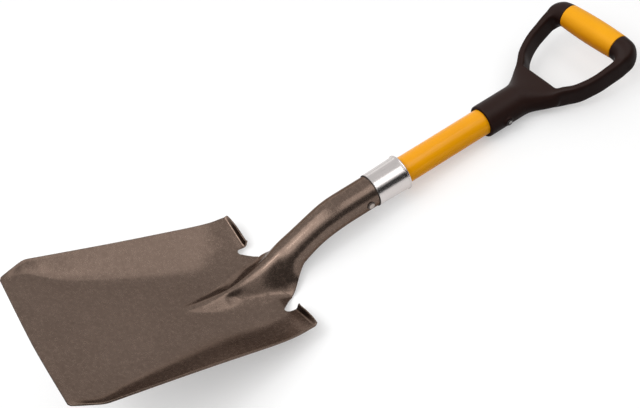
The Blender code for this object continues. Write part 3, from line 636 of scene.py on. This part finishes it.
def headMesh(frogColumns=32, outerColumns=32, lipRows=14, neckRows=44, socketRows=20):
    builder = bmesh.new()
    shares = [k / frogColumns for k in range(frogColumns + 1)]
    toShaft = Matrix.Rotation(-liftAngle, 4, "X") @ Matrix.Translation(-neckEnd)

    def fullRow(points):
        return [Vector((-point.x, point.y, point.z)) for point in reversed(points[1:])] + points

    pan = []
    for v in panSections():
        base, edge = frogHalf(v), halfWidth(v)
        profile = frogProfile((v - frogStart) / head["frogLength"])
        inner = [frogPoint(share, v, profile) for share in shares]
        outer = [facePoint(mixed(base, edge, k / outerColumns), v) for k in range(1, outerColumns + 1)]
        pan.append(fullRow(inner + outer))

    heelRow, before = pan[-1], pan[-2]
    lip = []
    for k in range(1, lipRows + 1):
        share = (k / lipRows) ** 1.3
        lip.append([lipPoint(point, math.atan2(point.z - old.z, point.y - old.y), share)
                    if abs(point.x) > head["notchCentre"] else None for point, old in zip(heelRow, before)])

    middle = len(heelRow) // 2
    bell = heelRow[middle: middle + frogColumns + 1]
    neck = []
    for k in range(1, neckRows + 1):
        t = k / neckRows
        turned = smoothStep(t / 0.24)
        shift = neckCentre(t) - neckCentre(0)
        neck.append(fullRow([(start + shift).lerp(neckPoint(share, t), turned)
                             for share, start in zip(shares, bell)]))
    last = neck[-1]
    for k in range(1, socketRows + 1):
        shift = neckArrive.normalized() * head["socketLength"] * k / socketRows
        neck.append([point + shift for point in last])

    def makeVerts(row):
        return [None if point is None else builder.verts.new(toShaft @ point) for point in row]

    def join(rows):
        for first, second in zip(rows, rows[1:]):
            for k in range(len(first) - 1):
                corners = (first[k], first[k + 1], second[k + 1], second[k])
                if None not in corners:
                    builder.faces.new(corners)

    panVerts, lipVerts, neckVerts = [[makeVerts(row) for row in grid] for grid in (pan, lip, neck)]
    root = panVerts[-1][middle - frogColumns: middle + frogColumns + 1]
    for rows in (panVerts, [panVerts[-1]] + lipVerts, [root] + neckVerts):
        join(rows)
    bmesh.ops.recalc_face_normals(builder, faces=builder.faces)
    frontFace = min(builder.faces, key=lambda face: face.calc_center_median().y)
    if frontFace.normal.z < 0:
        bmesh.ops.reverse_faces(builder, faces=builder.faces)
    return builder, toShaft


def notchOutline():
    # round the hollow beside a tread, then out beside the frog's foot
    radius = head["notchRadius"]
    centreX, centreY = head["notchCentre"], head["panLength"] - head["notchDepth"] + radius
    back = head["panLength"] + 2 * head["heelSweep"]
    points = [(centreX + radius + 0.6, back), (centreX + radius, centreY + radius)]
    for k in range(25):
        angle = -math.radians(head["notchTurn"]) * k / 24
        points.append((centreX + radius * math.cos(angle), centreY + radius * math.sin(angle)))
    inner, heel, gap = head["frogWidth"] / 2, head["panLength"], head["notchGap"]
    return points + [(inner + 2.6, heel + 5.3), (inner + gap, heel + 10), (inner + gap, back)]


def buildHead(material):
    builder, toShaft = headMesh()
    piece = makeObject("pressedHead", builder, recalculate=False)
    sheet = piece.modifiers.new("sheet", "SOLIDIFY")
    sheet.thickness, sheet.offset = head["sheet"] * mm, -1
    sheet.use_even_offset, sheet.thickness_clamp = True, 0
    rim = piece.modifiers.new("rim", "BEVEL")
    rim.width, rim.segments, rim.use_clamp_overlap = head["rimBevel"] * mm, 3, False
    rim.limit_method, rim.angle_limit = "ANGLE", math.radians(60)
    tools = []
    for side in (1, -1):
        outline = [(side * x, y) for x, y in notchOutline()]
        rings = [[toShaft @ Vector((x, y, level * head["heelCurl"])) for x, y in outline]
                 for level in (0.25, 3)]
        tools.append(makeObject("notchTool", skinRings(rings)))
    rivetAxis = acrossShaft(stations["rivet"])
    tools.append(makeBar("rivetTool", head["rivetHole"], -cutReach, cutReach, 48, rivetAxis))
    cutAway(piece, tools, 50)
    for vert in piece.data.vertices:  # its lowest bend rests on the floor
        vert.co.z = max(vert.co.z, 0)
    finishPiece(piece, "head", material)


# Rivet through the socket

rivet = {"shank": 2.5, "headRadius": 4.5, "headHeight": 1.5, "headEdge": 0.25, "seat": 17.5,
         "light": (0.5, 0.44, 0.4), "dark": (0.32, 0.28, 0.25), "rim": (0.1, 0.08, 0.07), "roughness": 0.34,
         "bright": 3.1}


def buildRivet(material):
    seat, edge = rivet["seat"], rivet["headEdge"]

    def formedHead(sign):
        # a low dome with its top pressed flat
        points = [(rivet["headRadius"] - edge, sign * seat)]
        for k in range(15):
            angle = math.pi / 2 * k / 14
            radius = rivet["headRadius"] * math.cos(angle) ** 0.9 if k < 14 else 0.0
            height = rivet["headHeight"] * min(math.sin(angle), 0.96)
            points.append((radius, sign * (seat + edge + height * 0.9)))
        return points

    shank = [(rivet["shank"], -seat), (rivet["shank"], seat)]
    profile = list(reversed(formedHead(-1))) + shank + formedHead(1)
    piece = makeObject("closedRivet", turnedMesh(profile, 64), acrossShaft(stations["rivet"]), 35)
    finishPiece(piece, "socket_rivet", material)


# Ferrule: drawn collar that flares towards the shaft and closes on it in a rolled rim

ferrule = {"length": 40, "inner": 17.5, "wall": 0.8, "round": 0.4, "flare": 0.7, "flarePower": 1.7,
           "bead": 1.1, "onShaft": 15.25, "overlap": 34}


def buildFerrule(material):
    outer, inner, onShaft = ferrule["inner"] + ferrule["wall"], ferrule["inner"], ferrule["onShaft"]
    end, bead, flare, turn = ferrule["length"], ferrule["bead"], ferrule["flare"], ferrule["round"]
    outside = [(outer - 0.3, 0), (outer - 0.08, 0.12), (outer, turn)]  # rounded end over the socket
    for k in range(1, 25):
        t = k / 24
        outside.append((outer + flare * t ** ferrule["flarePower"], mixed(turn, end - 2.6 * bead, t)))
    rim = []
    for k in range(17):
        angle = math.radians(mixed(-80, 90, k / 16))
        rim.append((outer + flare + bead * math.cos(angle), end - bead + bead * math.sin(angle)))
    dish = [(mixed(outer + flare, onShaft, t), end - 0.9 * math.sin(math.pi * t) * (1 - t))
            for t in (0.25, 0.5, 0.75)]
    inside = [(onShaft + 0.15, end - 0.05), (onShaft, end - 0.35), (onShaft, end - 1.6 * bead),
              (inner, ferrule["overlap"] + 0.6), (inner, 0)]
    piece = makeObject("flaredFerrule", turnedMesh(outside + rim + dish + inside, 128, True),
                       alongShaft(stations["ferrule"]), 42)
    finishPiece(piece, "ferrule", material)


# Shaft

shaft = {"outer": 15, "inner": 10.5, "edge": 0.8}


def screwAxis():
    return acrossShaft(stations["screw"], turn=math.radians(handle["screwTurn"]))


def buildShaft(material):
    length, edge = stations["shaftEnd"] - stations["shaftStart"], shaft["edge"]
    outer, inner = shaft["outer"], shaft["inner"]
    wall = [(outer, mixed(edge, length - edge, k / 40)) for k in range(41)]
    profile = [(inner, 0), (outer - edge, 0)] + wall + [(outer - edge, length), (inner, length)]
    piece = makeObject("tubeShaft", turnedMesh(profile, 128, True), alongShaft(stations["shaftStart"]))
    rivetAxis = acrossShaft(stations["rivet"])
    cutAway(piece, [makeBar("rivetTool", head["rivetHole"], -cutReach, cutReach, 40, rivetAxis),
                    makeBar("pilotTool", handle["screwHole"], 0, 2 * outer, 40, screwAxis())])
    finishPiece(piece, "shaft", material)


# D-handle, grip and screw: two arms leave the web and carry the grip between them

handle = {"socketOuter": 18.7, "bore": 15.3, "grasp": 45, "edge": 0.8, "width": 119, "slope": 19.8,
          "crotchWidth": 75, "crotch": 83, "armThickness": 9, "armDepth": 26, "armSag": 3.8, "squareness": 5,
          "gripRise": 32, "gripLength": 74.4, "gripGap": 0.3, "gripRadius": 13.9, "coreRadius": 8.7,
          "bossRadius": 5.5, "bossHeight": 1.2, "screwTurn": 3, "screwHole": 2.3,
          "voxel": 0.8, "soften": 7, "softenCrotch": 70, "blendReach": 14, "blendBefore": 5}
gripDistance = stations["grip"] - stations["handle"]


def ovalRing(centre, across, upward, halfAcross, halfUp, squareness, steps=56):
    points = []
    for k in range(steps):
        angle = 2 * math.pi * k / steps
        cosine, sine = math.cos(angle), math.sin(angle)
        x = math.copysign(abs(cosine) ** (2 / squareness), cosine) * halfAcross
        z = math.copysign(abs(sine) ** (2 / squareness), sine) * halfUp
        points.append(centre + across * x + upward * z)
    return points


def handleTrunk():
    outer, edge, square = handle["socketOuter"], handle["edge"], handle["squareness"]
    roundEnd = handle["grasp"] + 2
    remaining = handle["crotch"] - roundEnd
    half, deep = handle["crotchWidth"] / 2, handle["armDepth"] / 2
    slope = math.radians(handle["slope"])
    crotchRise = handle["gripRise"] - (gripDistance - handle["crotch"]) * math.tan(slope)
    # distance, half width, half depth, rise, squareness
    rows = [(0, outer - edge, outer - edge, 0, 2), (edge, outer, outer, 0, 2),
            (roundEnd * 0.5, outer, outer, 0, 2)]
    web = [(roundEnd, outer, outer, 0, 2)]
    # the web in shares of the way to the crotch: where, how far widened, how far raised; squareness
    for share, swell, rise, squarer in (
            (0.2, 0.09, 0.05, 2.1), (0.4, 0.28, 0.12, 2.5), (0.58, 0.49, 0.25, 3.2),
            (0.78, 0.74, 0.55, 4.2), (0.93, 0.84, 0.85, square)):
        web.append((roundEnd + remaining * share, mixed(outer, half, swell),
                    mixed(outer, deep, min(1.25 * share, 1)), crotchRise * rise, squarer))
    web.append((handle["crotch"], 0.8 * half, 0.8 * deep, crotchRise, square))
    rings = []
    for distance, wide, thick, rise, squarer in rows + smoothRows(web, 5):
        centre = Vector((0, stations["handle"] + distance, rise))
        rings.append(ovalRing(centre, Vector((1, 0, 0)), Vector((0, 0, 1)), wide, thick, squarer))
    return skinRings(rings)


def handleArm(side):
    half, radius, square = handle["width"] / 2, handle["gripRadius"], handle["squareness"]
    slope = math.radians(handle["slope"])
    cosine, sine = math.cos(slope), math.sin(slope)
    reach = (gripDistance - handle["crotch"]) / cosine
    start = handle["gripLength"] / 2 + handle["gripGap"]
    corner, lean = half - start, handle["crotchWidth"] / 2
    deep, thin, spread = handle["armDepth"] / 2, handle["armThickness"] / 2, half - lean
    # middle of the strap: place before the grip, distance from the middle, thickness, depth, sag
    strap = [(1.21, 0.40 * lean, 1.1, 0.8, 0.3), (1.06, 0.68 * lean, 1.1, 1.02, 0.6),
             (0.93, lean - 0.9 * thin, 1.05, 1.12, 0.7), (0.82, lean + 0.17 * spread, 0.97, 1.08, 0.7),
             (0.68, lean + 0.42 * spread, 0.93, 1.0, 0.8), (0.53, lean + 0.6 * spread, 0.92, 1.0, 0.95),
             (0.375, half - 1.5 * thin, 0.95, 1.0, 1.1), (0.24, half - 1.14 * thin, 1.05, 1.0, 1.2)]
    edges = []
    for k, (share, x, thickness, depth, sag) in enumerate(strap):
        after, before = strap[min(k + 1, len(strap) - 1)], strap[max(k - 1, 0)]
        run = Vector((after[1] - before[1], (before[0] - after[0]) * reach))
        aside = Vector((run.y, -run.x)).normalized() * thin * thickness
        inner, outer = Vector((x, -share * reach)) - aside, Vector((x, -share * reach)) + aside
        edges.append((inner.x, inner.y, outer.x, outer.y, deep * depth, square, sag))
    # the corner, which turns into the grip: its inner and outer edge, how far it is turned, sag
    for innerX, innerY, outerX, outerY, turn, sag in (
            (0.5, -1.14, 1.02, -0.85, 0.2, 1.2), (0.42, -1.04, 1.07, -0.35, 0.45, 1.0),
            (0.33, -1.0, 1.02, 0.12, 0.7, 0.75), (0.22, -0.99, 0.86, 0.54, 0.9, 0.45),
            (0.11, -0.995, 0.55, 0.87, 1.0, 0.15), (0.0, -1.0, 0.0, 1.0, 1.0, 0.0)):
        edges.append((start + corner * innerX, radius * innerY, start + corner * outerX, radius * outerY,
                      mixed(deep, radius, turn), square - (square - 2) * turn, sag))
    upward = Vector((0, -sine, cosine))
    rings = []
    for innerX, innerY, outerX, outerY, thick, squarer, sag in smoothRows(edges, 5):
        middle = Vector(((innerX + outerX) / 2, (innerY + outerY) / 2))
        across = Vector(((outerX - innerX) / 2, (outerY - innerY) / 2))
        centre = Vector((side * middle.x, stations["grip"] + middle.y * cosine,
                         handle["gripRise"] + middle.y * sine))
        centre -= upward * handle["armSag"] * sag
        sideways = Vector((side * across.x, across.y * cosine, across.y * sine))
        rings.append(ovalRing(centre, sideways.normalized(), upward, sideways.length, thick, squarer))
    return skinRings(rings)


def buildHandle(material):
    core, gripAxis = handle["gripLength"] / 2 + 3, acrossShaft(stations["grip"], handle["gripRise"])
    top, bossRadius = handle["socketOuter"] + handle["bossHeight"], handle["bossRadius"]
    boss = [(bossRadius * 1.3, top - 4.6), (bossRadius, top - 0.5), (bossRadius - 0.5, top)]
    parts = [makeObject("trunk", handleTrunk()),
             makeObject("armNear", handleArm(1)),
             makeObject("armFar", handleArm(-1)),
             makeBar("core", handle["coreRadius"], -core, core, 64, gripAxis),
             makeObject("boss", turnedMesh(boss, 48), screwAxis())]
    joined = bmesh.new()
    for part in parts:
        joined.from_mesh(part.data)
    piece = parts[0]
    piece.name = "mouldedHandle"
    joined.to_mesh(piece.data)
    joined.free()
    fuse = piece.modifiers.new("fuse", "REMESH")
    fuse.mode, fuse.voxel_size = "VOXEL", handle["voxel"] * mm
    settle(piece, parts[1:])

    # moulded roundness: most of it within the blend's reach of where the arms leave the web
    crotch = piece.vertex_groups.new(name="crotch")
    toTool = toolMatrix.inverted()
    middle = stations["handle"] + handle["crotch"] - handle["blendBefore"]
    for vert in piece.data.vertices:
        spot = toTool @ vert.co / mm
        away = abs(spot.y - middle) / handle["blendReach"]
        crotch.add([vert.index], smoothStep(2 - away), "REPLACE")
    for name, group, iterations in (("soften", "", handle["soften"]),
                                    ("blendCrotch", "crotch", handle["softenCrotch"])):
        soften = piece.modifiers.new(name, "SMOOTH")
        soften.factor, soften.iterations, soften.vertex_group = 0.5, iterations, group
    cutAway(piece, [makeBar("boreTool", handle["bore"], -6, handle["grasp"] + 0.3, 96,
                            alongShaft(stations["handle"])),
                    makeBar("screwTool", handle["screwHole"], 0, cutReach, 32, screwAxis())], 60)
    finishPiece(piece, "d_handle", material)


grip = {"outer": 13.87, "belly": 1, "inner": 9, "edge": 0.8, "seamDepth": 0.12, "seamWidth": 0.03}


def buildGrip(material):
    outer, inner, half, edge = grip["outer"], grip["inner"], handle["gripLength"] / 2, grip["edge"]
    wall = []
    for k in range(41):
        share = k / 20 - 1
        wall.append((outer + grip["belly"] * (1 - share**2), share * (half - edge)))
    turn = 0.3 * edge  # the ends' edges are rounded in two steps
    profile = ([(inner, -half), (outer - edge, -half), (outer - turn, -half + turn)] + wall
               + [(outer - turn, half - turn), (outer - edge, half), (inner, half)])
    builder = turnedMesh(profile, 128, True)
    for vert in builder.verts:  # shallow parting line on two sides
        radius = math.hypot(vert.co.x, vert.co.y)
        if radius > outer - 0.01:
            aside = (abs(math.atan2(vert.co.y, vert.co.x)) - 0.5 * math.pi) / grip["seamWidth"]
            inward = 1 - grip["seamDepth"] * math.exp(-aside**2) / radius
            vert.co.x *= inward
            vert.co.y *= inward
    piece = makeObject("gripSleeve", builder, acrossShaft(stations["grip"], handle["gripRise"]), 30)
    finishPiece(piece, "grip_sleeve", material)


# the screw's near-black rim round its bright middle is painted shade
screw = {"shank": 2, "tip": 5.5, "tipLength": 2, "gap": 0.3, "headRadius": 3.8, "headHeight": 2.15,
         "headEdge": 0.2, "recess": 1.6, "recessDepth": 1.3, "slot": 0.42, "slotTurn": 0.5,
         "light": (0.42, 0.4, 0.39), "dark": (0.2, 0.19, 0.18), "rim": (0.02, 0.016, 0.015), "roughness": 0.3,
         "bright": 1.9}


def buildScrew(material):
    seat, edge = handle["socketOuter"] + handle["bossHeight"] + screw["gap"], screw["headEdge"]
    top = seat + screw["headHeight"]
    profile = [(0, screw["tip"]), (screw["shank"], screw["tip"] + screw["tipLength"]), (screw["shank"], seat),
               (screw["headRadius"] - edge, seat)]
    for k in range(13):
        angle = math.pi / 2 * k / 12
        radius = screw["headRadius"] * math.cos(angle) if k < 12 else 0.0
        profile.append((radius, seat + edge + (screw["headHeight"] - edge) * math.sin(angle) ** 0.8))
    piece = makeObject("panScrew", turnedMesh(profile, 64), screwAxis(), 35)

    # cross recess: two slots that taper inwards
    wide, slot = screw["recess"], screw["slot"]
    corners = ((-wide, -slot), (wide, -slot), (wide, slot), (-wide, slot))
    tools = []
    for turn in (0, math.pi / 2):
        rings = [[Vector((x * size, y * size, z)) for x, y in corners]
                 for z, size in ((top - screw["recessDepth"], 0.5), (top + 0.5, 1.1))]
        tools.append(makeObject("recessTool", skinRings(rings),
                                screwAxis() @ Matrix.Rotation(turn + screw["slotTurn"], 4, "Z")))
    cutAway(piece, tools, 35)
    finishPiece(piece, "handle_screw", material)


# Studio in metres of the room: pale floor, dark cards on two sides, soft lamps overhead

studio = {"floorSize": 30, "floorDrop": 0.0005, "floorColour": 0.62, "cameraGlow": 0.37, "worldFill": 0.8,
          "cardRadius": 2.6, "cardColour": 0.02}
cards = {"highPanel": {"arc": (-80, 46), "foot": 0.02, "top": 1.9},
         "lowPanel": {"arc": (46, 118), "foot": 0.06, "top": 1.0}}
lamps = {"fillLamp": {"place": (0.1, -0.85, 1.55), "size": (2.0, 1.5), "power": 18, "aimed": False},
         "stripLamp": {"place": (0.82, 0.7, 1.55), "size": (1.25, 0.5), "power": 3.6, "aimed": False},
         "farLamp": {"place": (0.22, 1.77, 1.6), "size": (1.6, 1.0), "power": 4.4, "aimed": True},
         "sideLamp": {"place": (-2.35, 0.45, 0.72), "size": (1.3, 0.7), "power": 1.5, "aimed": True},
         "coreLamp": {"place": (0, -0.75, 1.5), "size": (0.3, 0.3), "power": 2.5, "aimed": False}}
toRoom = Matrix.Scale(1 / mm, 4) @ toolMatrix.inverted()  # undoes the placing in makeObject


def buildFloor():
    builder = bmesh.new()
    half, level = studio["floorSize"] / 2, studio["floorColour"]
    builder.faces.new([builder.verts.new((x * half, y * half, -studio["floorDrop"]))
                       for x, y in ((-1, -1), (1, -1), (1, 1), (-1, 1))])
    floor = makeObject("floor", builder, toRoom)
    paint = Paint("paleFloor")
    glow = paint.add("ShaderNodeEmission", None, {"Strength": paint.shown() * studio["cameraGlow"]})
    diffuse = paint.add("ShaderNodeBsdfDiffuse", None, {"Color": (level, level, level)})
    paint.output(paint.add("ShaderNodeAddShader", None, {0: diffuse, 1: glow}))
    floor.data.materials.append(paint.material)


def buildCard(name, look, steps=32):
    start, stop = [math.radians(angle) for angle in look["arc"]]
    radius, level = studio["cardRadius"], studio["cardColour"]
    angles = [mixed(start, stop, k / steps) for k in range(steps + 1)]
    builder = bmesh.new()
    low, high = [[builder.verts.new((radius * math.cos(a), radius * math.sin(a), z)) for a in angles]
                 for z in (look["foot"], look["top"])]
    for k in range(steps):
        builder.faces.new((low[k], low[k + 1], high[k + 1], high[k]))
    card = makeObject(name, builder, toRoom)
    paint = Paint(name)
    paint.output(paint.add("ShaderNodeBsdfDiffuse", None, {"Color": (level, level, level)}))
    card.data.materials.append(paint.material)
    card.visible_camera = False


def hangLamp(name, look):
    lamp = bpy.data.objects.new(name, bpy.data.lights.new(name, "AREA"))
    lamp.data.shape, lamp.data.energy = "RECTANGLE", look["power"]
    lamp.data.size, lamp.data.size_y = look["size"]
    lamp.location = look["place"]
    if look["aimed"]:  # at the middle of the floor
        lamp.rotation_euler = Vector(look["place"]).to_track_quat("Z", "Y").to_euler()
    lamp.visible_camera = False
    bpy.context.collection.objects.link(lamp)


def lightWorld():
    # the world fills the shadows, and is white where it shows
    world = bpy.data.worlds.new("studioWorld")
    world.use_nodes = True
    bpy.context.scene.world = world
    paint = Paint("", world.node_tree)
    strength = studio["worldFill"] + paint.shown() * (1 - studio["worldFill"])
    paint.output(paint.add("ShaderNodeBackground", None, {"Strength": strength}), "ShaderNodeOutputWorld")


def buildStudio():
    buildFloor()
    for name, look in cards.items():
        buildCard(name, look)
    for name, look in lamps.items():
        hangLamp(name, look)
    lightWorld()
    print("made studio")


# Camera as in the photograph

view = {"place": (0.5833, -0.2461, 0.7833), "turn": (38.929, 12.178, 56.017), "lens": 53.1}


def placeCamera():
    data = bpy.data.cameras.new("photoCamera")
    data.lens, data.sensor_width = view["lens"], 36
    camera = bpy.data.objects.new("photoCamera", data)
    camera.location = view["place"]
    camera.rotation_euler = [math.radians(angle) for angle in view["turn"]]
    bpy.context.collection.objects.link(camera)
    bpy.context.scene.camera = camera
    print("placed camera")


placeCamera()
buildStudio()
buildHead(bronzePaint())
buildRivet(pinSteel("rivetSteel", rivet, stations["rivet"]))
buildFerrule(bareAluminium())
buildShaft(yellowSkin())
buildHandle(blackMoulding())
buildGrip(amberSleeve())
buildScrew(pinSteel("screwSteel", screw, stations["screw"]))
wood = turnedWood()
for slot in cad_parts["core_plug"].material_slots:  # the plug stays the CAD's own solid
    slot.material = wood

bpy.context.scene.view_settings.view_transform = "Standard"
